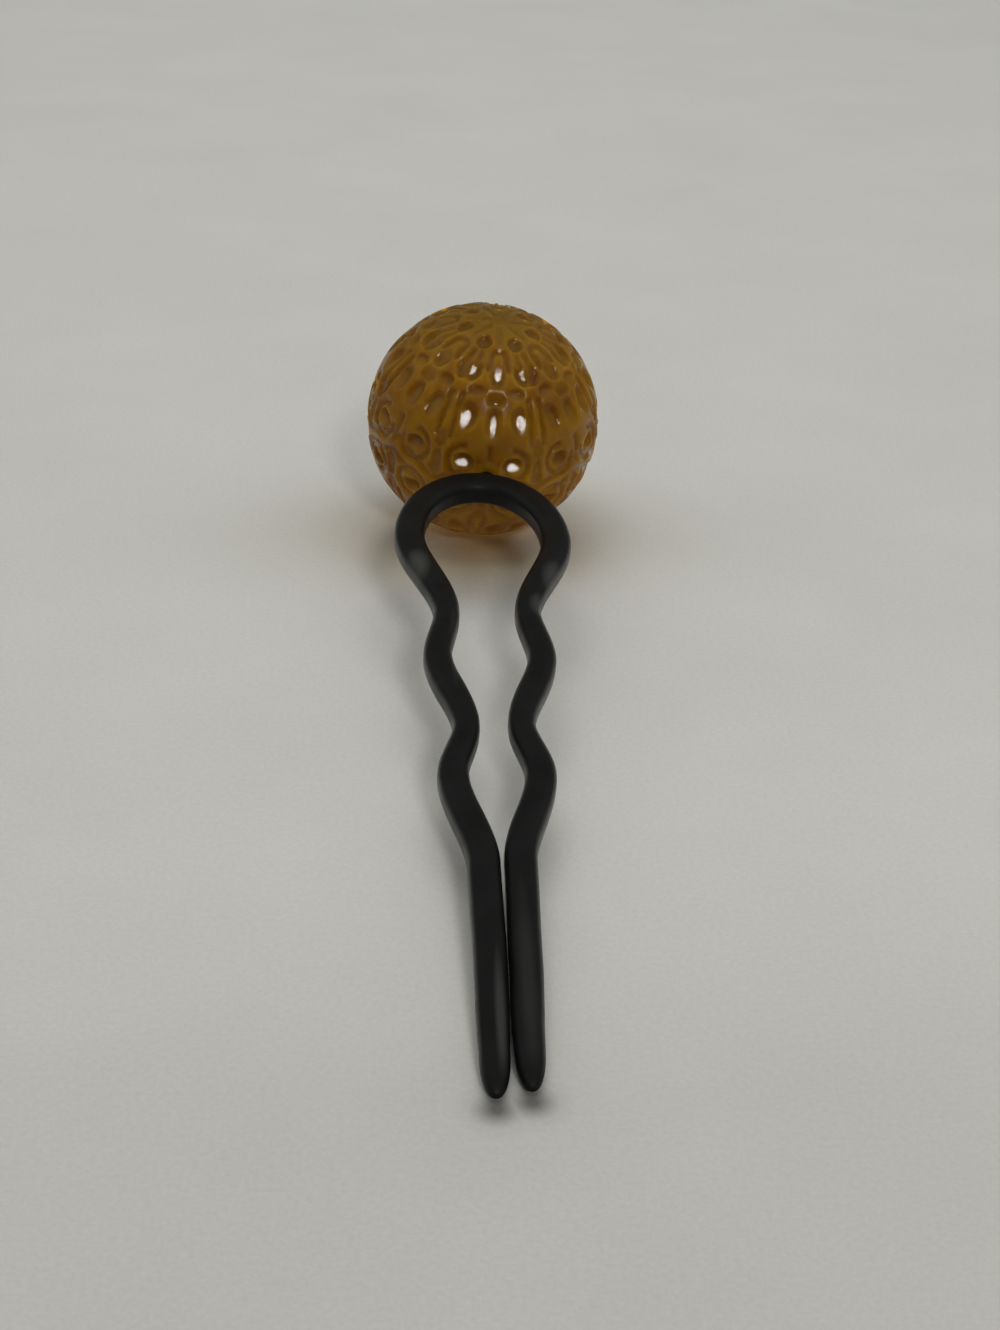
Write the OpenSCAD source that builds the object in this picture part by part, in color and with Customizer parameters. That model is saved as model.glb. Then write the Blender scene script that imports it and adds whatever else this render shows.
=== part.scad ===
// Hairpin: a carved round ball on a flat two-prong fork with a waving outline.
// The length runs along Y with the ball at the +Y end and the prong tips at the -Y end.
// It lies on the floor at Z = 0, on the underside of the ball and on both prong tips.
// All sizes are in millimetres.

/* [Ball] */
// Diameter of the carved ball
ball_d = 25; // [22:0.5:28]
// Diameter of the blind hole that takes the peg of the fork
hole_d = 1.6; // [1.4:0.1:2.2]
// Depth of the blind hole, measured from the surface of the ball
hole_depth = 8; // [5:0.5:12]

/* [Carving] */
// Depth of all grooves and scoops, as a share of the depths in the tables
carve_depth = 1; // [0.5:0.05:1.3]
// Spacing of the points that make up the carved surface
carve_step = 0.565; // [0.55:0.005:1]
// Lean of the carving towards the prong tips, from square above the fork
carve_lean = 7.1; // [0:0.1:20]
// Lean of the carving to the side of the short prong
carve_side = 4.4; // [-10:0.1:10]
// Turn of the carving about its own axis
carve_turn = 0; // [-15:0.5:15]
// Number of petals of the carving round the ball
carve_petals = 7; // [6:8]

/* [Fork] */
// Distance from the middle of the ball to the tip of the long prong
fork_l = 101.2; // [95:0.1:107]
// How much shorter the other prong is
prong_short = 0.75; // [0:0.05:2]
// Sideways offset of the fork from the middle of the ball
fork_shift = 0.82; // [0:0.01:1.5]
// Thickness of the fork along most of its length
fork_t = 2.55; // [2.2:0.05:3]
// Thickness of the prongs where the rounding of the tips begins
tip_t = 2; // [1.6:0.05:2.4]
// Radius of the rounded edges
edge_r = 0.95; // [0.4:0.05:1]
// Length over which a prong rounds off to its tip
tip_round = 4; // [3:0.1:9]

/* [Peg] */
// Diameter of the peg that goes up into the ball
peg_d = 1.4; // [1.2:0.1:2]
// How far the peg sits under the middle of the ball and of the fork
peg_low = 0.4; // [0:0.05:0.5]
// Depth of the peg inside the ball
peg_in = 7.4; // [4:0.1:11]

/* [Show] */
// Part to draw: all, carved_ball or hair_fork

/* [Hidden] */
ball_r = ball_d / 2;
hole_r = hole_d / 2;
peg_r = peg_d / 2;

// The middle line of one prong in steps from the top of the arch to the tip.
// The distance from the middle of the ball, and the distance from the fork's own middle.
arch_top = 15.2;
arch_wide = [25.9, 7.2];
wave = [
    // along, out
    arch_wide,
    [39.6, 3.8],
    [46.7, 4.72],
    [57.6, 2.42],
    [64.5, 3.68],
    [76.25, 1.475],
    [88, 1.325]
];
long_tip_x = 1.38;
short_tip_x = 1.16;
tips_apart = long_tip_x + short_tip_x;

// Width of the flat front of the fork against the distance from the ball
width_at = [
    // along, width
    [15, 3.1],
    [31, 2.9],
    [39.6, 2.4],
    [46.7, 2.58],
    [52, 2.68],
    [57.6, 2.34],
    [64.5, 2.65],
    [71, 2.75],
    [76.25, 2.65],
    [88, 2.57],
    [92.6, 2.5],
    [97, 2.28]
];

// Thickness of the fork against the distance from the ball
thick_at = [
    // along, thickness
    [15, fork_t],
    [74, fork_t],
    [fork_l - tip_round, tip_t],
    [fork_l, tip_t]
];

arch_steps = 11;
wave_steps = 6;
corner_steps = 3;
tip_back = [0.02, 0.1, 0.3, 0.65, 1.2, 2, 3];
tip_power = [2, 0.42];

// Where a tip touches the floor: this far back from its end, this far under its middle line
rest_back = 2.06;
rest_under = 0.894;
rest_along = fork_l - rest_back - prong_short * (fork_shift + long_tip_x) / tips_apart;
slope = asin((ball_r - rest_under) / rest_along);
roll = asin(prong_short / tips_apart * tan(slope));

// Half of the whole length less the ball, so that the middle of the whole is at Y = 0
long_y = fork_l * cos(slope);
ball_y = (long_y - ball_r) / 2;

// Half the angle of one petal of the carving
edge = 180 / carve_petals;

// Grooves of the carving, over half a petal of the upper half of the ball.
// Each is the start round and down from the pole, the heading (0 is away from the
// pole, 90 is round it), the length, the bend at both ends in degrees for each
// millimetre, half of the width, and the depth.
groove = [
    // round, down, heading, length, bend_a, bend_b, half, deep
    [0, 6, 0, 2, 0, 0, 0.6, 0.18],
    [0, 21.5, 90, 1.25, -72, -72, 0.56, 0.34],
    [8.6, 25.2, 3, 1.4, 0, -4, 0.56, 0.34],
    [edge - 4, 23, -8, 1.8, 4, 10, 0.56, 0.28],
    [edge - 3.8, 47, 0, 4.6, 0, 1, 0.58, 0.36],
    [12.8, 70.4, 80, 8.2, -30, -36, 0.58, 0.4],
    [0, 70, 0, 2.6, 0, 0, 0.6, 0.32],
    [edge, 77, 25, 2.6, -20, -26, 0.58, 0.36],
    [0, 89, 80, 5.8, -16, 16, 0.62, 0.34]
];

// Scoops of the carving: the place round and down from the pole, the reach round
// and down, the depth in the middle, and how much the depth grows for each
// millimetre that goes away from the middle of a petal and away from the pole
scoop = [
    // round, down, reach_round, reach_down, deep, lean_round, lean_down
    [edge, 17.3, 0.9, 1, 0.52, 0, 0],
    [0, 34.4, 1, 1.5, 0.32, 0, 0.25],
    [edge - 3, 33.4, 1.15, 1.5, 0.34, -0.29, 0.25],
    [0, 45.4, 1.1, 1.1, 0.2, 0, 0.24],
    [13.6, 43.8, 1.05, 0.9, 0.28, 0.16, -0.34],
    [15.6, 56.6, 1.15, 1.7, 0.36, -0.2, -0.16],
    [0, 57.8, 0.95, 1.9, 0.34, 0, -0.17],
    [12.8, 79, 1.4, 1.15, 0.44, -0.22, -0.6],
    [edge, 70, 0.8, 1.2, 0.34, 0, 0],
    [edge, 85.5, 0.8, 1, 0.38, 0, 0]
];
sector = 2 * edge;
groove_step = 0.6;
shoulder = 2.2;
bowl = 4;
bare_peg = [6, 10];
bare_floor = [6, 13];

// The carving over the whole ball: the grooves of the first half petal and the
// neighbours that can reach into it
function unit(v) = v / norm(v);

function on_ball(round_a, down_a) = [
    sin(down_a) * sin(round_a),
    sin(down_a) * cos(round_a),
    cos(down_a)
];

function away(round_a, down_a) = [
    cos(down_a) * sin(round_a),
    cos(down_a) * cos(round_a),
    -sin(down_a)
];

function walk(p, down, head, i, n, go, bend_a, bend_b) =
    i == n ? [p] :
    let (
        bend = bend_a + (bend_b - bend_a) * (i + 0.5) / n,
        a = head + bend * go / 2,
        q = unit(p + (cos(a) * down + sin(a) * cross(down, p)) * go / ball_r),
        next = unit(down - (down * q) * q)
    )
    concat([p], walk(q, next, head + bend * go, i + 1, n, go, bend_a, bend_b));

function groove_line(g) =
    let (n = ceil(g[3] / groove_step))
    walk(on_ball(g[0], g[1]), away(g[0], g[1]), g[2], 0, n, g[3] / n, g[4], g[5]);

function turned(p, a) = [
    p.x * cos(a) + p.y * sin(a),
    p.y * cos(a) - p.x * sin(a),
    p.z
];

function copied(p, c) = turned([c[0] * p.x, p.y, c[1] * p.z], c[2]);

copies = [
    // side, half, turn
    [1, 1, 0],
    [-1, 1, 0],
    [-1, 1, sector],
    [1, -1, sector / 2],
    [-1, -1, sector / 2],
    [1, -1, -sector / 2]
];

function middle_of(line) = unit(line[0] + line[len(line) - 1] + line[floor(len(line) / 2)]);

lines = [
    for (g = groove)
        let (base = groove_line(g))
            for (c = copies)
                let (
                    line = [for (p = base) copied(p, c)],
                    mid = middle_of(line),
                    reach = max([for (p = line) norm(p - mid)]) + g[6] * shoulder / ball_r
                )
                    [mid, reach, line, g[6], g[7]]
];

dots = [
    for (d = scoop)
        for (c = copies)
            let (
                mid = copied(on_ball(d[0], d[1]), c),
                down = copied(away(d[0], d[1]), c),
                across = c[0] * c[1] * cross(down, mid)
            )
                [mid, ball_r * across, ball_r * down, [d[2], d[3]], [d[4], d[5], d[6]]]
];

function ramp(t) = let (u = max(0, min(1, t))) u * u * (3 - 2 * u);

function near(p, a, b) =
    let (
        ab = b - a,
        t = max(0, min(1, (p - a) * ab / (ab * ab)))
    )
    norm(p - a - t * ab) * ball_r;

function cut(d, half, deep) =
    let (
        core = max(0, 1 - d / half),
        side = max(0, 1 - d / (half * shoulder))
    )
    deep * (0.7 * ramp(core) + 0.3 * side * side);

function line_cut(p, l) =
    let (d = min([for (i = [0 : len(l[2]) - 2]) near(p, l[2][i], l[2][i + 1])]))
    cut(d, l[3], l[4]);

function dot_cut(p, d) =
    let (
        x = p * d[1],
        y = p * d[2],
        r = min(1, norm([x / d[3].x, y / d[3].y]))
    )
    max(0, d[4] * [1, x, y]) * (1 - pow(r, bowl));

function carving(p) =
    max(concat(
        [0],
        [for (l = lines) if (norm(p - l[0]) < l[1]) line_cut(p, l)],
        [for (d = dots) if (p * d[0] > 0.98) dot_cut(p, d)]
    ));

// A direction from the middle of the ball, taken into the first half petal
function folded(p) =
    let (
        flip = p.z < 0,
        a = atan2(p.x, p.y) + (flip ? sector / 2 : 0),
        b = a - sector * floor(a / sector),
        c = b > sector / 2 ? sector - b : b,
        s = norm([p.x, p.y])
    )
    [s * sin(c), s * cos(c), abs(p.z)];

// The frame of the carving inside the frame of the fork
carve_up = unit([sin(carve_side), -sin(carve_lean), cos(carve_lean)]);
carve_front = unit([0, -1, 0] - ([0, -1, 0] * carve_up) * carve_up);
carve_right = cross(carve_up, carve_front);

function in_carving(u) = turned([u * carve_right, u * carve_front, u * carve_up], carve_turn);

// The direction of the floor and of the mouth of the hole, from the middle of the ball
floor_dir = [sin(roll) * cos(slope), -sin(slope), -cos(roll) * cos(slope)];
mouth_tilt = asin(peg_low / ball_r);
mouth_dir = [0, -cos(mouth_tilt), -sin(mouth_tilt)];

function angle_to(u, v) = acos(max(-1, min(1, u * v)));

function bare(u) =
    ramp((angle_to(u, mouth_dir) - bare_peg[0]) / (bare_peg[1] - bare_peg[0])) *
    ramp((angle_to(u, floor_dir) - bare_floor[0]) / (bare_floor[1] - bare_floor[0]));

function skin(u) =
    let (b = bare(u))
    b == 0 ? ball_r * u :
    (ball_r - b * carve_depth * carving(folded(in_carving(u)))) * u;

// The points of the ball stand in rings round the mouth of the hole
mouth_a = asin(hole_r / ball_r);
ring_n = round((180 - mouth_a) * PI / 180 * ball_r / carve_step);
ring_gap = (180 - mouth_a) / ring_n;

function ring_count(a) = max(12, round(2 * PI * ball_r * sin(a) / carve_step));

mouth_n = 16;
ring_sizes = [
    for (k = [0 : ring_n - 1]) k == 0 ? mouth_n : ring_count(mouth_a + k * ring_gap)
];

function ring_dir(a, b) =
    let (
        u = [sin(a) * cos(b), -cos(a), sin(a) * sin(b)]
    )
    [
        u.x,
        u.y * cos(mouth_tilt) - u.z * sin(mouth_tilt),
        u.z * cos(mouth_tilt) + u.y * sin(mouth_tilt)
    ];

function ring_points(k) = [
    for (j = [0 : ring_sizes[k] - 1])
        skin(ring_dir(mouth_a + k * ring_gap, 360 * j / ring_sizes[k]))
];

function sums(v, i = 0, s = 0) = i == len(v) ? [s] : concat([s], sums(v, i + 1, s + v[i]));

// Triangles between a ring of n points that starts at a and a ring of m points at b
function zip(a, n, b, m) = concat(
    n == 1 ? [] :
    [
        for (k = [0 : n - 1])
            [a + k, a + (k + 1) % n, b + ceil((k + 0.5) * m / n - 0.5) % m]
    ],
    m == 1 ? [] :
    [
        for (j = [0 : m - 1])
            [b + (j + 1) % m, b + j, a + floor((j + 0.5) * n / m + 0.5) % n]
    ]
);

module carved_ball_shape() {
    mouth = ring_points(0);
    mouth_mid = ball_r * mouth_dir;
    deep = [0, hole_depth, 0];
    floor_pts = [for (p = mouth) [p.x, mouth_mid.y + hole_depth, p.z]];
    points = concat(
        [mouth_mid + deep],
        floor_pts,
        mouth,
        [for (k = [1 : ring_n - 1]) each ring_points(k)],
        [skin(-mouth_dir)]
    );
    sizes = concat([1, mouth_n], ring_sizes, [1]);
    starts = sums(sizes);
    faces = [
        for (k = [0 : len(sizes) - 2])
            each zip(starts[k], sizes[k], starts[k + 1], sizes[k + 1])
    ];
    polyhedron(points, faces);
}

// The middle line of the fork, one side: distance from the ball, distance out
function arch_line() = [
    for (i = [0 : arch_steps - 1])
        let (a = 90 * i / arch_steps)
            [
                arch_wide[0] - (arch_wide[0] - arch_top) * cos(a),
                arch_wide[1] * sin(a)
            ]
];

// The waves of the short prong are that much nearer to the ball as it is shorter
function wave_at(k, end) = [wave[k][0] * (k == 0 ? 1 : end / fork_l), wave[k][1]];

function wave_line(end) = [
    for (k = [0 : len(wave) - 2])
        for (i = [0 : wave_steps - 1])
            let (
                from = wave_at(k, end),
                to = wave_at(k + 1, end),
                t = i / wave_steps
            )
                [from[0] + (to[0] - from[0]) * t, from[1] + (to[1] - from[1]) * ramp(t)]
];

function tip_line(end, tip_x) =
    let (last = wave_at(len(wave) - 1, end))
    concat(
        [last, [(last[0] + end - tip_round) / 2, (last[1] + 2 * tip_x) / 3]],
        [[end - tip_round, tip_x]],
        [for (i = [len(tip_back) - 1 : -1 : 0]) [end - tip_back[i], tip_x]]
    );

function tip_share(t) =
    pow(1 - pow(max(0, 1 - t), tip_power[0]), tip_power[1]);

function prong_line(end, side, tip_x) = [
    for (p = concat(arch_line(), wave_line(end), tip_line(end, tip_x)))
        [side * p[1], -p[0], tip_share((end - p[0]) / tip_round)]
];

long_side = prong_line(fork_l, -1, long_tip_x);
short_side = prong_line(fork_l - prong_short, 1, short_tip_x);
fork_line = concat(
    [for (i = [len(long_side) - 1 : -1 : 1]) long_side[i]],
    short_side
);

// Rounded section of the fork at one place of its middle line
function section_points(i) =
    let (
        n = len(fork_line),
        p = fork_line[i],
        before = fork_line[max(0, i - 1)],
        after = fork_line[min(n - 1, i + 1)],
        dir = unit([after.x - before.x, after.y - before.y]),
        out = [dir.y, -dir.x],
        end = p[2],
        w = lookup(-p.y, width_at) / 2 * end,
        t = lookup(-p.y, thick_at) / 2 * end,
        r = edge_r * end
    )
    [
        for (c = [0 : 3])
            for (s = [0 : corner_steps])
                let (
                    a = 90 * c + 90 * s / corner_steps,
                    sx = (c == 0 || c == 3) ? 1 : -1,
                    sz = (c == 0 || c == 1) ? 1 : -1,
                    x = sx * (w - r) + r * cos(a),
                    z = sz * (t - r) + r * sin(a)
                )
                    [p.x + out[0] * x, p.y + out[1] * x, z]
    ];

module fork_band() {
    m = 4 * (corner_steps + 1);
    n = len(fork_line);
    points = [for (i = [0 : n - 1]) each section_points(i)];
    sides = [
        for (i = [0 : n - 2])
            for (j = [0 : m - 1])
                let (
                    a = i * m + j,
                    b = i * m + (j + 1) % m
                )
                    each [[a, b, b + m], [a, b + m, a + m]]
    ];
    first = [for (j = [m - 1 : -1 : 0]) j];
    last = [for (j = [0 : m - 1]) (n - 1) * m + j];
    polyhedron(points, concat(sides, [first, last]));
}

// Placing: from the frame of the fork, with the middle of the ball at the origin,
// to the hairpin as it lies on the floor
module lying() {
    translate([0, ball_y, ball_r])
        rotate([slope, 0, 0])
            rotate([0, roll, 0])
                children();
}

module carved_ball() {
    color([0.62, 0.44, 0.16])
        lying()
            carved_ball_shape();
}

module hair_fork() {
    color([0.08, 0.08, 0.09])
        lying()
            union() {
                translate([-fork_shift, 0, 0])
                    fork_band();
                translate([0, -ball_r + peg_in, -peg_low])
                    rotate([90, 0, 0])
                        cylinder(r = peg_r, h = arch_top - ball_r + peg_in, $fn = 32);
            }
}

carved_ball();
hair_fork();
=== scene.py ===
import math

import bpy
import numpy as np
from mathutils import Matrix, Vector


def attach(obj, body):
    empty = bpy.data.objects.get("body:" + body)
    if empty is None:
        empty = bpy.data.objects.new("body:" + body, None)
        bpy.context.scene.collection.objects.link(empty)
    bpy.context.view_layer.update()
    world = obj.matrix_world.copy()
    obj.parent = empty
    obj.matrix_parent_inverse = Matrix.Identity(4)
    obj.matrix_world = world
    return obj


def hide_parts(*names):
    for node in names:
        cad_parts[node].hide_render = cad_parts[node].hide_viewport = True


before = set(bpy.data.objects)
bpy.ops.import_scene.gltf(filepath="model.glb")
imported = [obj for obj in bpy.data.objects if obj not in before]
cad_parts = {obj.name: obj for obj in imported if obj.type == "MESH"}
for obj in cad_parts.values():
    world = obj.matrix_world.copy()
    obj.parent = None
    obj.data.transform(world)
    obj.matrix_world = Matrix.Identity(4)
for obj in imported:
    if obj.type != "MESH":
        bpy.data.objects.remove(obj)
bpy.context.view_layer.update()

MM = 0.001
RAD = math.pi / 180

# Sizes in mm and angles in degrees, the same as in the source.
# The ball, and the blind hole that takes the peg
BALL_R = 12.5
HOLE_R = 0.8
HOLE_DEPTH = 8.0
# Lean of the carving to the tips and to the side, its turn, and how many petals it has
CARVE_LEAN = 7.1
CARVE_SIDE = 4.4
CARVE_TURN = 0.0
CARVE_PETALS = 7
# The fork: its length from the ball's middle, how much shorter the other prong is, how far
# it sits to the side of the ball's middle, and its thicknesses and rounded edges
FORK_L = 101.2
PRONG_SHORT = 0.75
FORK_SHIFT = 0.82
FORK_T = 2.55
TIP_T = 2.0
EDGE_R = 0.95
TIP_ROUND = 4.0
TIP_POWER = (2.0, 0.42)
# The peg, how far it sits under the ball's middle, and its depth inside the ball
PEG_R = 0.7
PEG_LOW = 0.4
PEG_IN = 7.4
# The middle line of a prong: distance from the ball's middle, distance out
ARCH_TOP = 15.2
WAVE = [(25.9, 7.2), (39.6, 3.8), (46.7, 4.72), (57.6, 2.42), (64.5, 3.68), (76.25, 1.475), (88, 1.325)]
LONG_TIP_X = 1.38
SHORT_TIP_X = 1.16
TIPS_APART = LONG_TIP_X + SHORT_TIP_X
# Width and thickness of the fork against the distance from the ball's middle
WIDTH_AT = [(15, 3.1), (31, 2.9), (39.6, 2.4), (46.7, 2.58), (52, 2.68), (57.6, 2.34), (64.5, 2.65),
            (71, 2.75), (76.25, 2.65), (88, 2.57), (92.6, 2.5), (97, 2.28)]
THICK_AT = [(15, FORK_T), (74, FORK_T), (FORK_L - TIP_ROUND, TIP_T), (FORK_L, TIP_T)]
# Where a tip touches the floor: this far back from its end, this far under its middle line
REST_BACK = 2.06
REST_UNDER = 0.894

rest_along = FORK_L - REST_BACK - PRONG_SHORT * (FORK_SHIFT + LONG_TIP_X) / TIPS_APART
SLOPE = math.asin((BALL_R - REST_UNDER) / rest_along)
ROLL = math.asin(PRONG_SHORT / TIPS_APART * math.tan(SLOPE))
BALL_Y = (FORK_L * math.cos(SLOPE) - BALL_R) / 2

# From the frame of the fork, in mm with the ball's middle at the origin, to the lying hairpin in metres
TURN = Matrix.Rotation(SLOPE, 3, "X") @ Matrix.Rotation(ROLL, 3, "Y")
LYING = Matrix.Translation(Vector((0, BALL_Y, BALL_R)) * MM) @ TURN.to_4x4()
TURN_NP = np.array(TURN)
PLACE_NP = np.array([0, BALL_Y, BALL_R])


def lying(points):
    return (np.asarray(points) @ TURN_NP.T + PLACE_NP) * MM


# The photo's camera, fitted in the frame of the fork
CAM_AT = Vector((-13.574, -208.805, 108.307))
CAM_AZIMUTH = 4.836
CAM_DOWN = 33.788
CAM_ROLL = 4.788
FOCAL_PX = 2166.0
PHOTO_H = 1330
SENSOR = 36.0


def add_camera():
    azimuth, down, roll = (math.radians(v) for v in (CAM_AZIMUTH, CAM_DOWN, CAM_ROLL))
    look = Vector((math.sin(azimuth) * math.cos(down), math.cos(azimuth) * math.cos(down), -math.sin(down)))
    flat = Vector((math.cos(azimuth), -math.sin(azimuth), 0))
    right = math.cos(roll) * flat + math.sin(roll) * flat.cross(look)
    up = right.cross(look)
    data = bpy.data.cameras.new("photo_camera")
    data.sensor_fit = "AUTO"
    data.sensor_width = SENSOR
    data.lens = FOCAL_PX * SENSOR / PHOTO_H
    data.clip_start, data.clip_end = 0.01, 20.0
    cam = bpy.data.objects.new("photo_camera", data)
    bpy.context.scene.collection.objects.link(cam)
    axes = Matrix((right, up, -look)).transposed()
    cam.matrix_world = Matrix.Translation(LYING @ (CAM_AT * MM)) @ (TURN @ axes).to_4x4()
    bpy.context.scene.camera = cam


add_camera()

# The carving, over half a petal of the upper half of the ball
SECTOR = 360.0 / CARVE_PETALS
EDGE = SECTOR / 2
# Grooves: the start round and down from the pole, the heading (0 is away from the pole, 90 is
# round it), the length, the bend at both ends in degrees for each mm, half the width, the depth
GROOVE = [
    (0, 6, 0, 2, 0, 0, 0.6, 0.18),
    (0, 21.5, 90, 1.25, -72, -72, 0.56, 0.34),
    (8.6, 25.2, 3, 1.4, 0, -4, 0.56, 0.34),
    (EDGE - 4, 23, -8, 1.8, 4, 10, 0.56, 0.28),
    (EDGE - 3.8, 47, 0, 4.6, 0, 1, 0.58, 0.36),
    (12.8, 70.4, 80, 8.2, -30, -36, 0.58, 0.4),
    (0, 70, 0, 2.6, 0, 0, 0.6, 0.32),
    (EDGE, 77, 25, 2.6, -20, -26, 0.58, 0.36),
    (0, 89, 80, 5.8, -16, 16, 0.62, 0.34),
]
# Scoops: the place round and down from the pole, the reach round and down, the depth in the
# middle, and how much the depth grows for each mm away from the petal's middle and the pole
SCOOP = [
    (EDGE, 17.3, 0.9, 1, 0.52, 0, 0),
    (0, 34.4, 1, 1.5, 0.32, 0, 0.25),
    (EDGE - 3, 33.4, 1.15, 1.5, 0.34, -0.29, 0.25),
    (0, 45.4, 1.1, 1.1, 0.2, 0, 0.24),
    (13.6, 43.8, 1.05, 0.9, 0.28, 0.16, -0.34),
    (15.6, 56.6, 1.15, 1.7, 0.36, -0.2, -0.16),
    (0, 57.8, 0.95, 1.9, 0.34, 0, -0.17),
    (12.8, 79, 1.4, 1.15, 0.44, -0.22, -0.6),
    (EDGE, 70, 0.8, 1.2, 0.34, 0, 0),
    (EDGE, 85.5, 0.8, 1, 0.38, 0, 0),
]
# Step of a groove's walk, reach of its shoulder in half widths, and shares of its depth
GROOVE_STEP = 0.25
SHOULDER = 2.2
CORE_SHARE = 0.7
SIDE_SHARE = 0.3
# Power that shapes a scoop's bowl, and the cosine past which no scoop reaches
BOWL = 4
SCOOP_NEAR = 0.98
# The carving fades out between these angles round the peg and round the resting place
BARE_PEG = (6, 10)
BARE_FLOOR = (6, 13)
# Copies of half a petal that can reach into it: mirrored sideways, mirrored in height, turned
COPIES = [
    (1, 1, 0), (-1, 1, 0), (-1, 1, SECTOR),
    (1, -1, SECTOR / 2), (-1, -1, SECTOR / 2), (1, -1, -SECTOR / 2),
]


def unit(v):
    return v / np.linalg.norm(v)


def ramp(t):
    u = np.clip(t, 0, 1)
    return u * u * (3 - 2 * u)


def on_ball(around, down):
    """Direction of the place this far round and down from the pole."""
    a, d = around * RAD, down * RAD
    return np.array([math.sin(d) * math.sin(a), math.sin(d) * math.cos(a), math.cos(d)])


def away(around, down):
    """Direction along the ball, away from the pole, at that place."""
    a, d = around * RAD, down * RAD
    return np.array([math.cos(d) * math.sin(a), math.cos(d) * math.cos(a), -math.sin(d)])


def groove_line(around, down_from_pole, heading, length, bend_start, bend_end):
    """Middle line of a groove, as directions, walked over the ball in short steps."""
    steps = math.ceil(length / GROOVE_STEP)
    step = length / steps
    p, down = on_ball(around, down_from_pole), away(around, down_from_pole)
    line = [p]
    for i in range(steps):
        bend = bend_start + (bend_end - bend_start) * (i + 0.5) / steps
        a = (heading + bend * step / 2) * RAD
        q = unit(p + (math.cos(a) * down + math.sin(a) * np.cross(down, p)) * step / BALL_R)
        down = unit(down - (down @ q) * q)
        p, heading = q, heading + bend * step
        line.append(p)
    return np.array(line)


def copied(p, side, half, turn):
    """Directions mirrored sideways and in height by factors of 1 or -1, and turned round the pole."""
    q = np.array(p, dtype=float) * [side, 1, half]
    c, s = math.cos(turn * RAD), math.sin(turn * RAD)
    return np.stack([q[..., 0] * c + q[..., 1] * s, q[..., 1] * c - q[..., 0] * s, q[..., 2]], -1)


def folded(p):
    """Any direction, folded into half a petal of the upper half."""
    flip = p[:, 2] < 0
    a = np.degrees(np.arctan2(p[:, 0], p[:, 1])) + np.where(flip, SECTOR / 2, 0)
    b = a - SECTOR * np.floor(a / SECTOR)
    c = np.radians(np.where(b > SECTOR / 2, SECTOR - b, b))
    s = np.hypot(p[:, 0], p[:, 1])
    return np.stack([s * np.sin(c), s * np.cos(c), np.abs(p[:, 2])], -1)


def cut_groove(deep, p, line, half, most):
    """Puts the depth of one groove into deep, for the directions p that it reaches."""
    mid = unit(line.mean(0))
    reach = np.linalg.norm(line - mid, axis=1).max() + half * SHOULDER / BALL_R
    near = np.where(np.linalg.norm(p - mid, axis=1) < reach)[0]
    if not len(near):
        return
    q = p[near]
    best = np.full(len(q), np.inf)
    for a, b in zip(line[:-1], line[1:]):
        ab = b - a
        t = np.clip((q - a) @ ab / (ab @ ab), 0, 1)
        best = np.minimum(best, np.linalg.norm(q - a - t[:, None] * ab, axis=1) * BALL_R)
    core = np.maximum(0, 1 - best / half)
    side = np.maximum(0, 1 - best / (half * SHOULDER))
    deep[near] = np.maximum(deep[near], most * (CORE_SHARE * ramp(core) + SIDE_SHARE * side * side))


def carving(p):
    """Depth of the carving in mm in the directions p, in the frame of the carving."""
    deep = np.zeros(len(p))
    for *walk, half, most in GROOVE:
        base = groove_line(*walk)
        for copy in COPIES:
            cut_groove(deep, p, copied(base, *copy), half, most)
    for around, down_from_pole, reach_x, reach_y, most, lean_x, lean_y in SCOOP:
        for copy in COPIES:
            mid = copied(on_ball(around, down_from_pole), *copy)
            down = copied(away(around, down_from_pole), *copy)
            side = copy[0] * copy[1] * np.cross(down, mid)
            near = np.where(p @ mid > SCOOP_NEAR)[0]
            if not len(near):
                continue
            x, y = p[near] @ side * BALL_R, p[near] @ down * BALL_R
            bowl = np.maximum(0, 1 - np.hypot(x / reach_x, y / reach_y) ** BOWL)
            deep[near] = np.maximum(deep[near], np.maximum(0, most + lean_x * x + lean_y * y) * bowl)
    return deep


carve_lean, carve_side = CARVE_LEAN * RAD, CARVE_SIDE * RAD
carve_up = unit(np.array([math.sin(carve_side), -math.sin(carve_lean), math.cos(carve_lean)]))
tips_way = np.array([0.0, -1.0, 0.0])
carve_front = unit(tips_way - (tips_way @ carve_up) * carve_up)
carve_right = np.cross(carve_up, carve_front)
floor_dir = np.array([math.sin(ROLL) * math.cos(SLOPE), -math.sin(SLOPE), -math.cos(ROLL) * math.cos(SLOPE)])
mouth_tilt = math.asin(PEG_LOW / BALL_R)
mouth_dir = np.array([0, -math.cos(mouth_tilt), -math.sin(mouth_tilt)])


def in_carving(u):
    q = np.stack([u @ carve_right, u @ carve_front, u @ carve_up], -1)
    return copied(q, 1, 1, CARVE_TURN)


def bare(u):
    """0 where the ball stays smooth, 1 where it has its full carving."""
    def part(way, edge):
        a = np.degrees(np.arccos(np.clip(u @ way, -1, 1)))
        return ramp((a - edge[0]) / (edge[1] - edge[0]))
    return part(mouth_dir, BARE_PEG) * part(floor_dir, BARE_FLOOR)


def new_piece(name, points, faces):
    me = bpy.data.meshes.new(name)
    me.from_pydata([tuple(p) for p in points], [], [tuple(f) for f in faces])
    me.validate()
    me.update()
    ob = bpy.data.objects.new(name, me)
    bpy.context.scene.collection.objects.link(ob)
    me.polygons.foreach_set("use_smooth", [True] * len(me.polygons))
    return ob


# The ball: rings of points round the mouth of the hole. Spacing in mm, points of the
# mouth and of the smallest other ring
BALL_STEP = 0.17
MOUTH_N = 48
RING_LEAST = 12


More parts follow.
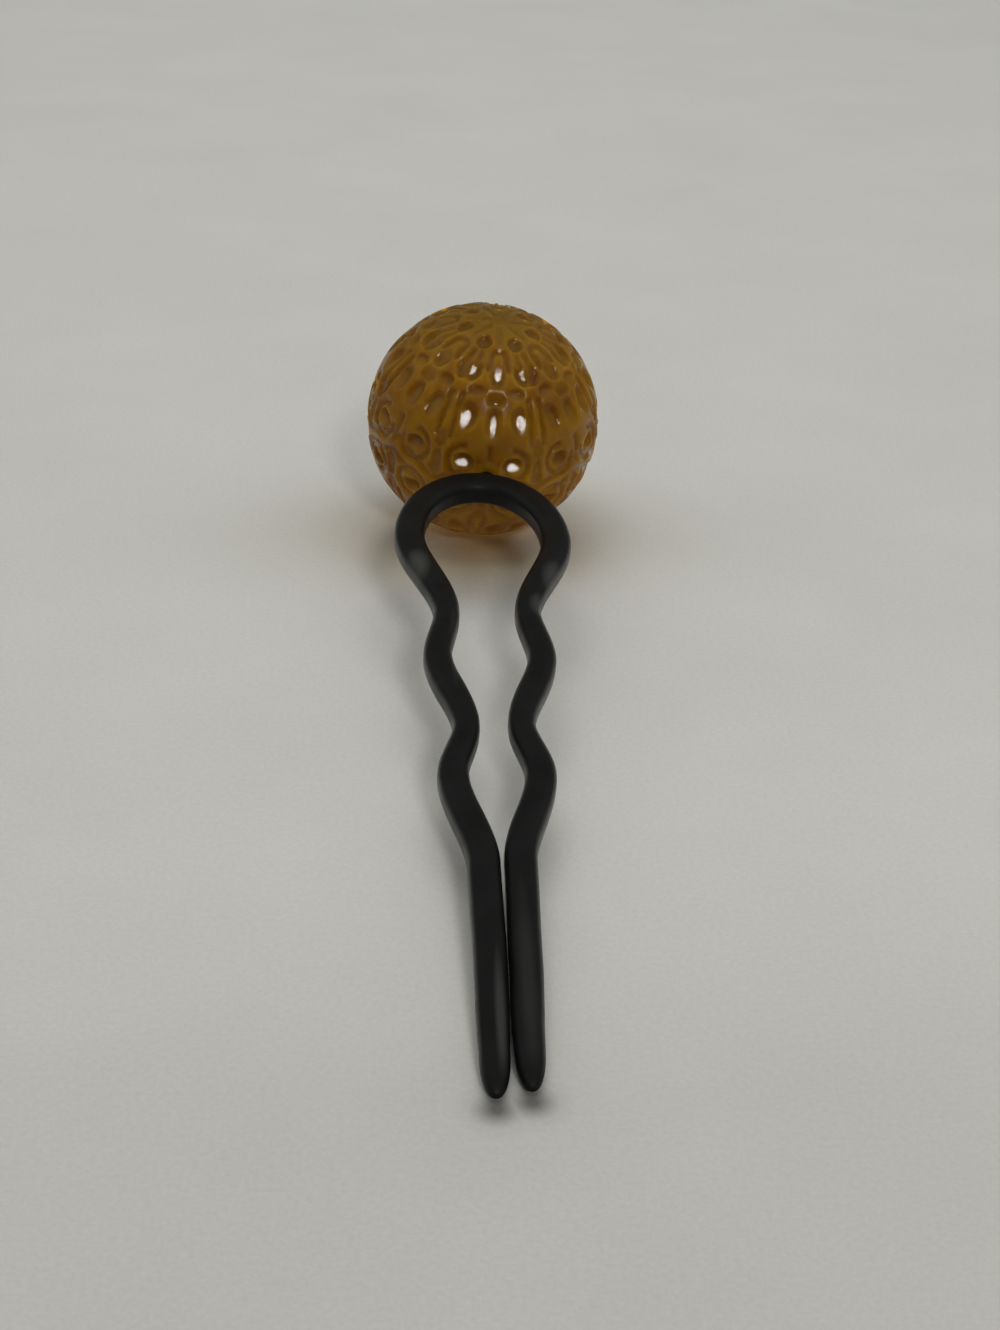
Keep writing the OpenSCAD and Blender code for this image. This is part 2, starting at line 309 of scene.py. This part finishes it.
def zipped(a, n, b, m):
    """Triangles between a ring of n points from index a and one of m points from index b."""
    out = []
    if n > 1:
        out += [(a + k, a + (k + 1) % n, b + math.ceil((k + 0.5) * m / n - 0.5) % m) for k in range(n)]
    if m > 1:
        out += [(b + (j + 1) % m, b + j, a + math.floor((j + 0.5) * n / m + 0.5) % n) for j in range(m)]
    return out


def ball_ways():
    """Directions of the ball's points, ring by ring, and the number of points in each ring."""
    mouth_a = math.degrees(math.asin(HOLE_R / BALL_R))
    rings = round((180 - mouth_a) * RAD * BALL_R / BALL_STEP)
    gap = (180 - mouth_a) / rings
    angles = [(mouth_a + k * gap) * RAD for k in range(rings)]
    sizes = [MOUTH_N] + [max(RING_LEAST, round(2 * math.pi * BALL_R * math.sin(a) / BALL_STEP))
                         for a in angles[1:]]
    ways = []
    for a, n in zip(angles, sizes):
        b = 2 * math.pi * np.arange(n) / n
        ring = [math.sin(a) * np.cos(b), np.full(n, -math.cos(a)), math.sin(a) * np.sin(b)]
        ways.append(np.stack(ring, -1))
    ways = np.concatenate(ways)
    c, s = math.cos(mouth_tilt), math.sin(mouth_tilt)
    ways = np.stack([ways[:, 0], ways[:, 1] * c - ways[:, 2] * s, ways[:, 2] * c + ways[:, 1] * s], -1)
    return np.concatenate([ways, [-mouth_dir]]), sizes


def build_ball():
    ways, sizes = ball_ways()
    deep = carving(folded(in_carving(ways))) * bare(ways)
    skin = (BALL_R - deep)[:, None] * ways
    hole_end = skin[:MOUTH_N].copy()
    hole_end[:, 1] = BALL_R * mouth_dir[1] + HOLE_DEPTH
    hole_middle = BALL_R * mouth_dir + [0, HOLE_DEPTH, 0]
    points = np.concatenate([[hole_middle], hole_end, skin])
    counts = [1, MOUTH_N] + sizes + [1]
    starts = np.concatenate([[0], np.cumsum(counts)])
    faces = []
    for k in range(len(counts) - 1):
        faces += zipped(int(starts[k]), counts[k], int(starts[k + 1]), counts[k + 1])
    ob = new_piece("ball_carved_resin", lying(points), faces)
    depth = ob.data.attributes.new("carve_depth", "FLOAT", "POINT")
    values = np.concatenate([np.zeros(1 + MOUTH_N), deep]).astype(np.float32)
    depth.data.foreach_set("value", values)
    return ob


# The fork: steps of its band, how early the last bend of a prong ends, the least distance of
# a point from the end of a tip
ARCH_STEPS = 34
WAVE_STEPS = 22
CORNER_STEPS = 7
TIP_STEPS = 20
LAST_BEND = 1.2
TIP_END = 0.003
# The peg: sides, share of its radius at its blunt end and the length of that, and its foot
# as distance above the arch's middle line and share of its radius
PEG_SIDES = 40
PEG_END = 0.86
PEG_BEVEL = 0.14
PEG_FOOT = [(1.75, 1.0), (1.45, 1.05), (1.3, 1.16), (0.0, 1.16)]


def table(x, rows):
    return float(np.interp(x, [r[0] for r in rows], [r[1] for r in rows]))


def prong_line(end, side, tip_x):
    """Middle line of one prong from the top of the arch, with the share of its full section."""
    waves = [WAVE[0]] + [(s * end / FORK_L, x) for s, x in WAVE[1:]]
    arch_end, arch_wide = WAVE[0]
    line = []
    for i in range(ARCH_STEPS):
        a = math.pi / 2 * i / ARCH_STEPS
        line.append((arch_end - (arch_end - ARCH_TOP) * math.cos(a), arch_wide * math.sin(a)))
    for p, q in zip(waves[:-1], waves[1:]):
        for i in range(WAVE_STEPS):
            t = i / WAVE_STEPS
            line.append((p[0] + (q[0] - p[0]) * t, p[1] + (q[1] - p[1]) * float(ramp(t))))
    last = waves[-1]
    for i in range(WAVE_STEPS):
        t = i / WAVE_STEPS
        bent = float(ramp(t * LAST_BEND))
        line.append((last[0] + (end - TIP_ROUND - last[0]) * t, last[1] + (tip_x - last[1]) * bent))
    for i in range(TIP_STEPS):
        t = 1 - math.cos(math.pi / 2 * (TIP_STEPS - i) / TIP_STEPS)
        line.append((end - max(TIP_END, TIP_ROUND * t), tip_x))
    out = []
    for s, x in line:
        share = (1 - max(0.0, 1 - (end - s) / TIP_ROUND) ** TIP_POWER[0]) ** TIP_POWER[1]
        out.append((side * x, -s, share))
    return out


def tube_faces(rings, sides):
    """Quads along a tube of rings, and a cap at both ends."""
    faces = []
    for i in range(rings - 1):
        a, b = i * sides, (i + 1) * sides
        faces += [(a + j, a + (j + 1) % sides, b + (j + 1) % sides, b + j) for j in range(sides)]
    faces.append(tuple(range(sides - 1, -1, -1)))
    faces.append(tuple(range((rings - 1) * sides, rings * sides)))
    return faces


def build_band():
    left = prong_line(FORK_L, -1, LONG_TIP_X)
    right = prong_line(FORK_L - PRONG_SHORT, 1, SHORT_TIP_X)
    line = np.array(left[:0:-1] + right)
    n = len(line)
    points = []
    for i in range(n):
        p, before, after = line[i], line[max(0, i - 1)], line[min(n - 1, i + 1)]
        way = unit(after[:2] - before[:2])
        out = np.array([way[1], -way[0]])
        w = table(-p[1], WIDTH_AT) / 2 * p[2]
        t = table(-p[1], THICK_AT) / 2 * p[2]
        r = EDGE_R * p[2]
        for c in range(4):
            sx, sz = (1, -1, -1, 1)[c], (1, 1, -1, -1)[c]
            for s in range(CORNER_STEPS + 1):
                a = math.pi / 2 * (c + s / CORNER_STEPS)
                x, z = sx * (w - r) + r * math.cos(a), sz * (t - r) + r * math.sin(a)
                points.append((p[0] + out[0] * x - FORK_SHIFT, p[1] + out[1] * x, z))
    return new_piece("fork_black", lying(points), tube_faces(n, 4 * (CORNER_STEPS + 1)))


def build_peg():
    ring = [(PEG_R * math.cos(2 * math.pi * j / PEG_SIDES), PEG_R * math.sin(2 * math.pi * j / PEG_SIDES))
            for j in range(PEG_SIDES)]
    stations = [(-BALL_R + PEG_IN, PEG_END), (-BALL_R + PEG_IN - PEG_BEVEL, 1.0)]
    stations += [(-ARCH_TOP + above, share) for above, share in PEG_FOOT]
    points = [(x * k, y, z * k - PEG_LOW) for y, k in stations for x, z in ring]
    return new_piece("fork_peg_tool", lying(points), tube_faces(len(stations), PEG_SIDES))


def build_fork():
    band, peg = build_band(), build_peg()
    for ob in (band, peg):
        bpy.context.view_layer.objects.active = ob
        ob.select_set(True)
        bpy.ops.object.mode_set(mode="EDIT")
        bpy.ops.mesh.select_all(action="SELECT")
        bpy.ops.mesh.normals_make_consistent(inside=False)
        bpy.ops.object.mode_set(mode="OBJECT")
        ob.select_set(False)
    join = band.modifiers.new("join_peg", "BOOLEAN")
    join.operation, join.solver, join.object = "UNION", "EXACT", peg
    bpy.context.view_layer.objects.active = band
    bpy.ops.object.modifier_apply(modifier=join.name)
    bpy.data.objects.remove(peg)
    band.data.polygons.foreach_set("use_smooth", [True] * len(band.data.polygons))
    return band


def material(name):
    """A new material, its node tree, and the shader in it."""
    mat = bpy.data.materials.new(name)
    mat.use_nodes = True
    nt = mat.node_tree
    return mat, nt, nt.nodes["Principled BSDF"]


# Each of these adds its nodes to the tree nt and returns an output socket
def noise(nt, coords, scale, detail=4.0, rough=0.5, distortion=0.0):
    n = nt.nodes.new("ShaderNodeTexNoise")
    n.inputs["Scale"].default_value = scale
    n.inputs["Detail"].default_value = detail
    n.inputs["Roughness"].default_value = rough
    n.inputs["Distortion"].default_value = distortion
    nt.links.new(coords, n.inputs["Vector"])
    return n.outputs["Fac"]


def colour_ramp(nt, fac, stops):
    n = nt.nodes.new("ShaderNodeValToRGB")
    elements = n.color_ramp.elements
    while len(elements) < len(stops):
        elements.new(0.5)
    for element, (position, colour) in zip(elements, stops):
        element.position = position
        element.color = (*colour, 1)
    nt.links.new(fac, n.inputs["Fac"])
    return n.outputs["Color"]


def mapped(nt, fac, from_min, from_max, to_min, to_max):
    n = nt.nodes.new("ShaderNodeMapRange")
    n.inputs["From Min"].default_value, n.inputs["From Max"].default_value = from_min, from_max
    n.inputs["To Min"].default_value, n.inputs["To Max"].default_value = to_min, to_max
    nt.links.new(fac, n.inputs["Value"])
    return n.outputs["Result"]


def mixed(nt, fac, a, b, blend="MIX"):
    n = nt.nodes.new("ShaderNodeMix")
    n.data_type, n.blend_type = "RGBA", blend
    for value, socket in ((fac, n.inputs["Factor"]), (a, n.inputs[6]), (b, n.inputs[7])):
        if isinstance(value, bpy.types.NodeSocket):
            nt.links.new(value, socket)
        elif isinstance(value, (int, float)):
            socket.default_value = value
        else:
            socket.default_value = (*value, 1)
    return n.outputs[2]


def multiplied(nt, a, b):
    return mixed(nt, 1.0, a, b, "MULTIPLY")


def blended(nt, fac, a, b):
    """Mix of two numbers, of which b can be a socket or a plain number."""
    n = nt.nodes.new("ShaderNodeMix")
    nt.links.new(fac, n.inputs["Factor"])
    nt.links.new(a, n.inputs["A"])
    if isinstance(b, bpy.types.NodeSocket):
        nt.links.new(b, n.inputs["B"])
    else:
        n.inputs["B"].default_value = b
    return n.outputs["Result"]


def vector_math(nt, operation, a, b=None):
    n = nt.nodes.new("ShaderNodeVectorMath")
    n.operation = operation
    nt.links.new(a, n.inputs[0])
    if b is not None:
        n.inputs[1].default_value = b
    return n.outputs["Value" if operation in ("DISTANCE", "DOT_PRODUCT") else "Vector"]


def combined(nt, values, operation):
    out = values[0]
    for value in values[1:]:
        n = nt.nodes.new("ShaderNodeMath")
        n.operation = operation
        nt.links.new(out, n.inputs[0])
        nt.links.new(value, n.inputs[1])
        out = n.outputs["Value"]
    return out


def bumped(nt, height, strength, distance, normal=None):
    n = nt.nodes.new("ShaderNodeBump")
    n.inputs["Strength"].default_value = strength
    n.inputs["Distance"].default_value = distance
    nt.links.new(height, n.inputs["Height"])
    if normal is not None:
        nt.links.new(normal, n.inputs["Normal"])
    return n.outputs["Normal"]


def apart(nt, coords, at, stretch=(1.0, 1.0, 1.0)):
    """Distance from a place in the frame of the fork, with the axes of the lying hairpin stretched."""
    place = np.array(lying([at])[0]) * stretch
    if stretch != (1.0, 1.0, 1.0):
        coords = vector_math(nt, "MULTIPLY", coords, stretch)
    return vector_math(nt, "DISTANCE", coords, tuple(float(v) for v in place))


def by_distance(nt, distance, reach, stops):
    """Colours by distance, with the stops spread over 0 to reach in mm."""
    return colour_ramp(nt, mapped(nt, distance, 0.0, reach * MM, 0.0, 1.0), stops)


WHITE = (1.0, 1.0, 1.0)
BLACK = (0.0, 0.0, 0.0)
# Noises are given as scale, detail, roughness and distortion, and bumps as strength and
# height in metres. The values of a noise lie mostly within this span.
NOISE_SPAN = (0.3, 0.7)

# The resin: its colour by cloudiness, and painted shade that darkens the carved places between two depths in
# mm
CLOUD_NOISE = (260, 3, 0.55, 0.6)
RESIN_CLOUDS = [(0.3, (0.158, 0.064, 0.0010)), (0.5, (0.200, 0.092, 0.0015)), (0.7, (0.242, 0.124, 0.0022))]
CARVING_PAINTED_SHADE = (0.93, 0.84, 0.78)
CARVING_SHADE_DEPTHS = (0.05, 0.55)
# The way from which most light comes through it. Painted shade dims its far side, and painted light
# brightens its near one. Both are given over its height on that way, from 0 at the near end to 1 at the far
# one.
LIGHT_WAY = (0.0, 0.64, 0.77)
FAR_PAINTED_SHADE = (0.111, 0.067, 0.0064)
FAR_HEIGHTS = (0.52, 0.94)
FAR_MOST = 0.9
NEAR_PAINTED_LIGHT = (1.14, 1.12, 1.0)
NEAR_HEIGHTS = (0.42, 0.12)
# Painted glow, through emission, for light that leaves the resin at its near end, over the lowest part of
# that height
UNDER_HEIGHT = 0.25
RESIN_PAINTED_GLOW = [(0.0, (0.026, 0.0125, 0.0035)), (0.3, (0.010, 0.005, 0.0015)), (1.0, BLACK)]
# Between these depths in mm the duller raised surface turns into the polished carving
POLISH_DEPTHS = (0.04, 0.16)
DULL_NOISE = (900, 3)
DULL_ROUGH = (0.20, 0.28)
POLISHED_ROUGH = 0.1
RESIN_GRAIN = (2600, 5, 0.6)
RESIN_BUMP = (0.12, 0.0001)


def resin_material():
    mat, nt, bsdf = material("honey_resin")
    coords = nt.nodes.new("ShaderNodeTexCoord").outputs["Object"]
    colour = colour_ramp(nt, noise(nt, coords, *CLOUD_NOISE), RESIN_CLOUDS)
    attribute = nt.nodes.new("ShaderNodeAttribute")
    attribute.attribute_name = "carve_depth"
    depth = attribute.outputs["Fac"]
    # Painted shade that darkens the carved hollows
    carving_shade = mapped(nt, depth, *CARVING_SHADE_DEPTHS, 0.0, 1.0)
    colour = mixed(nt, carving_shade, colour, multiplied(nt, colour, CARVING_PAINTED_SHADE))
    # Painted shade on the far side and painted light on the near side of the ball
    middle = float(np.dot(lying([(0, 0, 0)])[0], LIGHT_WAY))
    height = mapped(nt, vector_math(nt, "DOT_PRODUCT", coords, LIGHT_WAY),
                    middle - BALL_R * MM, middle + BALL_R * MM, 0.0, 1.0)
    colour = mixed(nt, mapped(nt, height, *FAR_HEIGHTS, 0.0, FAR_MOST), colour, FAR_PAINTED_SHADE)
    near = mapped(nt, height, *NEAR_HEIGHTS, 0.0, 1.0)
    colour = mixed(nt, near, colour, multiplied(nt, colour, NEAR_PAINTED_LIGHT))
    nt.links.new(colour, bsdf.inputs["Base Color"])
    # Painted glow on the underside of the ball
    painted_glow_under = colour_ramp(nt, mapped(nt, height, 0.0, UNDER_HEIGHT, 0.0, 1.0), RESIN_PAINTED_GLOW)
    nt.links.new(painted_glow_under, bsdf.inputs["Emission Color"])
    bsdf.inputs["Emission Strength"].default_value = 1.0
    polish = mapped(nt, depth, *POLISH_DEPTHS, 0.0, 1.0)
    dull = mapped(nt, noise(nt, coords, *DULL_NOISE), *NOISE_SPAN, *DULL_ROUGH)
    nt.links.new(blended(nt, polish, dull, POLISHED_ROUGH), bsdf.inputs["Roughness"])
    bsdf.inputs["IOR"].default_value = 1.5
    bsdf.inputs["Specular IOR Level"].default_value = 0.19
    bsdf.inputs["Subsurface Weight"].default_value = 1.0
    bsdf.inputs["Subsurface Radius"].default_value = (1.0, 0.45, 0.12)
    bsdf.inputs["Subsurface Scale"].default_value = 0.007
    nt.links.new(bumped(nt, noise(nt, coords, *RESIN_GRAIN), *RESIN_BUMP), bsdf.inputs["Normal"])
    return mat


# The plastic: its colour by unevenness
PLASTIC_NOISE = (220, 4)
PLASTIC_COLOURS = [(0.35, (0.0042, 0.0042, 0.0041)), (0.7, (0.0066, 0.0068, 0.0067))]
# Painted sheen: paler patches and stripes that stand in for soft highlights, in the frame of the fork:
# place, reach along X, reach along Y, strength
PAINTED_SHEEN = [
    (-6.5 - FORK_SHIFT, -32.6, 1.2, 1.4, 3.0, 1.0),
    (6.6 - FORK_SHIFT, -34.0, 1.2, 1.5, 3.3, 1.0),
    (4.9 - FORK_SHIFT, -39.0, 1.2, 1.2, 2.3, 0.9),
    (-3.2 - FORK_SHIFT, -46.5, 1.2, 0.5, 7.0, 0.4),
    (0.5 - LONG_TIP_X - FORK_SHIFT, -94.0, 1.0, 0.5, 8.0, 0.76),
    (0.1 + SHORT_TIP_X - FORK_SHIFT, -90.0, 1.0, 0.8, 12.0, 0.32),
]
PAINTED_SHEEN_COLOUR = (0.036, 0.037, 0.033)
# A patch is even up to this share of its reach
PAINTED_SHEEN_EVEN = 0.35
# Painted shade, also duller, at the arch under the ball and at the ends of both prongs:
# place, full up to this distance, gone at this one
SHADE_SPOTS = [
    (-FORK_SHIFT, -ARCH_TOP, 0, 3.0, 8.0),
    (-LONG_TIP_X - FORK_SHIFT, -FORK_L, 0.3, 1.0, 3.4),
    (SHORT_TIP_X - FORK_SHIFT, -FORK_L + PRONG_SHORT, 0.3, 1.0, 3.4),
]
SHADE_SPOT_COLOUR = (0.0022, 0.0021, 0.0019)
# How rough it is in most places and in the painted shade spots, and its fine and coarse unevenness
SHEEN_NOISE = (420, 4, 0.6)
SHEEN_ROUGH = (0.26, 0.38)
DEEP_NOISE = (900, 4, 0.6)
DEEP_ROUGH = (0.50, 0.62)
FINE_NOISE = (1500, 4, 0.6)
FINE_BUMP = (0.07, 0.0001)
COARSE_NOISE = (130, 2)
COARSE_BUMP = (0.3, 0.0006)


def plastic_material():
    mat, nt, bsdf = material("black_plastic")
    coords = nt.nodes.new("ShaderNodeTexCoord").outputs["Object"]
    colour = colour_ramp(nt, noise(nt, coords, *PLASTIC_NOISE), PLASTIC_COLOURS)
    # Painted sheen, paler patches and stripes in place of soft highlights
    for x, y, z, reach_x, reach_y, much in PAINTED_SHEEN:
        away_from = apart(nt, coords, (x, y, z), (1 / reach_x, 1 / reach_y, 1 / reach_y))
        sheen_mask = mapped(nt, away_from, PAINTED_SHEEN_EVEN * MM, 1.0 * MM, much, 0.0)
        colour = mixed(nt, sheen_mask, colour, PAINTED_SHEEN_COLOUR)
    # Painted shade at the arch under the ball and at the ends of the prongs, which also makes them duller
    deep = combined(nt, [mapped(nt, apart(nt, coords, (x, y, z)), full * MM, gone * MM, 1.0, 0.0)
                         for x, y, z, full, gone in SHADE_SPOTS], "MAXIMUM")
    nt.links.new(mixed(nt, deep, colour, SHADE_SPOT_COLOUR), bsdf.inputs["Base Color"])
    sheen = mapped(nt, noise(nt, coords, *SHEEN_NOISE), *NOISE_SPAN, *SHEEN_ROUGH)
    deep_rough = mapped(nt, noise(nt, coords, *DEEP_NOISE), *NOISE_SPAN, *DEEP_ROUGH)
    nt.links.new(blended(nt, deep, sheen, deep_rough), bsdf.inputs["Roughness"])
    bsdf.inputs["IOR"].default_value = 1.46
    bsdf.inputs["Specular IOR Level"].default_value = 0.22
    fine = bumped(nt, noise(nt, coords, *FINE_NOISE), *FINE_BUMP)
    nt.links.new(bumped(nt, noise(nt, coords, *COARSE_NOISE), *COARSE_BUMP, fine), bsdf.inputs["Normal"])
    return mat


# The floor: its colour by unevenness, its fine grain, and its bumps
FLOOR_NOISE = (35, 5, 0.6)
FLOOR_COLOURS = [(0.3, (0.545, 0.540, 0.508)), (0.7, (0.575, 0.570, 0.542))]
GRAIN_NOISE = (2200, 2, 0.7)
GRAIN_SHADE = [(0.25, (0.90, 0.90, 0.90)), (0.75, WHITE)]
FLOOR_BUMPS = (1400, 4)
FLOOR_BUMP = (0.1, 0.0001)
# Painted brown shade, tinted by light that the resin throws on it, round a place in mm on the floor
RESIN_SHADE_AT = (-0.8, 38.0, 0.0)
RESIN_SHADE_REACH = 16.0
RESIN_PAINTED_SHADE = [(0.0, (0.86, 0.57, 0.30)), (0.2, (0.80, 0.63, 0.45)), (0.31, (0.84, 0.72, 0.57)),
        (0.5, (0.93, 0.87, 0.79)), (0.9, WHITE)]
# Wide warm shade to both sides of the ball. This place and those below are in the frame of the fork
WIDE_AT = (-1.2, -4.0, -BALL_R)
WIDE_STRETCH = (1.0, 1.35, 0.0)
WIDE_REACH = 32.0
WIDE_SHADE = [(0.22, WHITE), (0.34, (0.93, 0.90, 0.84)), (0.46, (0.90, 0.875, 0.82)),
              (0.62, (0.935, 0.92, 0.895)), (0.8, (0.975, 0.97, 0.96)), (1.0, WHITE)]
# Shade round the ends of the prongs, which starts a little in front of each
TIP_AHEAD = 0.6
TIPS_AT = [(-LONG_TIP_X, -FORK_L - TIP_AHEAD), (SHORT_TIP_X, -FORK_L + PRONG_SHORT - TIP_AHEAD)]
TIP_STRETCH = (1.0, 0.99, 0.0)
TIP_REACH = 12.0
TIP_SHADE = [(0.027, (0.25, 0.245, 0.24)), (0.073, (0.45, 0.445, 0.44)), (0.12, (0.67, 0.67, 0.665)),
             (0.167, (0.86, 0.86, 0.86)), (0.27, (0.945, 0.945, 0.945)), (0.65, (0.975, 0.975, 0.975)),
             (1.0, WHITE)]
# The light falls off between these places along Y, in metres
FRONT_Y = (-0.075, -0.025)
FRONT_SHADE = [(0.0, (0.89, 0.89, 0.893)), (0.38, (0.91, 0.91, 0.912)), (0.66, (0.96, 0.96, 0.961)),
               (1.0, WHITE)]
# Painted glow, through emission, for light that comes down through the resin: a small brown glow under the
# ball and beside it
UNDER_AT = (0, 0, -BALL_R)
UNDER_STRETCH = (0.6, 1.0, 0.0)
UNDER_REACH = 8.0
UNDER_PAINTED_GLOW = [(0.3, (0.085, 0.045, 0.011)), (0.55, (0.070, 0.036, 0.008)), (0.75, (0.020, 0.010, 0.002)),
              (1.0, BLACK)]
BESIDE_AT = (2.9, -8.2, -BALL_R)
BESIDE_STRETCH = (1.0, 1.0, 0.0)
BESIDE_REACH = 3.2
BESIDE_PAINTED_GLOW = [(0.0, (0.034, 0.019, 0.006)), (0.5, (0.020, 0.012, 0.004)), (1.0, BLACK)]


def floor_material():
    mat, nt, bsdf = material("pale_floor")
    coords = nt.nodes.new("ShaderNodeTexCoord").outputs["Object"]
    colour = colour_ramp(nt, noise(nt, coords, *FLOOR_NOISE), FLOOR_COLOURS)
    grain = colour_ramp(nt, noise(nt, coords, *GRAIN_NOISE), GRAIN_SHADE)
    # Painted brown shade round the ball
    from_resin_shade = vector_math(nt, "DISTANCE", coords, tuple(v * MM for v in RESIN_SHADE_AT))
    resin_shade = by_distance(nt, from_resin_shade, RESIN_SHADE_REACH, RESIN_PAINTED_SHADE)
    wide = by_distance(nt, apart(nt, coords, WIDE_AT, WIDE_STRETCH), WIDE_REACH, WIDE_SHADE)
    from_each = [apart(nt, coords, (x - FORK_SHIFT, y, 0), TIP_STRETCH) for x, y in TIPS_AT]
    tips = by_distance(nt, combined(nt, from_each, "MINIMUM"), TIP_REACH, TIP_SHADE)
    across = nt.nodes.new("ShaderNodeSeparateXYZ")
    nt.links.new(coords, across.inputs[0])
    front = colour_ramp(nt, mapped(nt, across.outputs["Y"], *FRONT_Y, 0.0, 1.0), FRONT_SHADE)
    for shade in (grain, resin_shade, wide, tips, front):
        colour = multiplied(nt, colour, shade)
    nt.links.new(colour, bsdf.inputs["Base Color"])
    # Painted glow on the floor under and beside the ball
    painted_glow_under = by_distance(nt, apart(nt, coords, UNDER_AT, UNDER_STRETCH), UNDER_REACH, UNDER_PAINTED_GLOW)
    painted_glow_beside = by_distance(nt, apart(nt, coords, BESIDE_AT, BESIDE_STRETCH), BESIDE_REACH, BESIDE_PAINTED_GLOW)
    nt.links.new(mixed(nt, 1.0, painted_glow_under, painted_glow_beside, "ADD"), bsdf.inputs["Emission Color"])
    bsdf.inputs["Emission Strength"].default_value = 1.0
    bsdf.inputs["Roughness"].default_value = 0.62
    bsdf.inputs["Specular IOR Level"].default_value = 0.25
    nt.links.new(bumped(nt, noise(nt, coords, *FLOOR_BUMPS), *FLOOR_BUMP), bsdf.inputs["Normal"])
    return mat


# The pieces
ball = build_ball()
ball.data.materials.append(resin_material())
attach(ball, "root")
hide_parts("carved_ball")

fork = build_fork()
fork.data.materials.append(plastic_material())
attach(fork, "root")
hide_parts("hair_fork")

# The floor reaches this far to each side, in metres
FLOOR = 3.0
floor = new_piece("floor", [(-FLOOR, -FLOOR, 0), (FLOOR, -FLOOR, 0), (FLOOR, FLOOR, 0), (-FLOOR, FLOOR, 0)],
                  [(0, 1, 2, 3)])
floor.data.materials.append(floor_material())

# Round soft lights that face one place: azimuth and height in degrees, distance and size in
# metres, power, colour, and whether it shows in reflections
LIT_AT = (0, 0.02, 0.01)
LIGHTS = [
    ("key", 11, 34, 1.2, 0.19, 4.2, (1.0, 0.985, 0.97), True),
    ("top", 178, 80, 0.75, 0.72, 2.35, (1.0, 1.0, 0.985), False),
    ("behind", 182, 38, 1.0, 0.5, 1.2, (1.0, 1.0, 0.985), False),
]


def add_light(name, azimuth, height, distance, size, power, colour, in_reflections):
    data = bpy.data.lights.new(name, "AREA")
    data.shape, data.size, data.energy, data.color = "DISK", size, power, colour
    ob = bpy.data.objects.new(name, data)
    bpy.context.scene.collection.objects.link(ob)
    a, e = math.radians(azimuth), math.radians(height)
    way = Vector((math.sin(a) * math.cos(e), -math.cos(a) * math.cos(e), math.sin(e)))
    ob.location = Vector(LIT_AT) + way * distance
    ob.rotation_mode = "QUATERNION"
    ob.rotation_quaternion = (-way).to_track_quat("-Z", "Y")
    ob.visible_glossy = in_reflections


for light in LIGHTS:
    add_light(*light)

# Soft light from all round, the same from opposite sides, by how far it lies along this way
ROOM_WAY = (0.55, -0.35, 0.80)
ROOM_LIGHT = [(0.0, (0.20, 0.20, 0.19)), (0.25, (0.10, 0.10, 0.10)), (0.5, (0.26, 0.26, 0.255)),
              (0.7, (0.38, 0.38, 0.37)), (0.9, (0.85, 0.85, 0.83))]
ROOM_STRENGTH = 0.85

world = bpy.data.worlds.new("room")
world.use_nodes = True
bpy.context.scene.world = world
room = world.node_tree
sides = vector_math(room, "ABSOLUTE", room.nodes.new("ShaderNodeTexCoord").outputs["Generated"])
lean = vector_math(room, "DOT_PRODUCT", sides, ROOM_WAY)
background = room.nodes["Background"]
room.links.new(colour_ramp(room, lean, ROOM_LIGHT), background.inputs["Color"])
background.inputs["Strength"].default_value = ROOM_STRENGTH

scene = bpy.context.scene
scene.view_settings.view_transform = "Standard"
scene.view_settings.look = "None"
scene.view_settings.exposure = 0.0
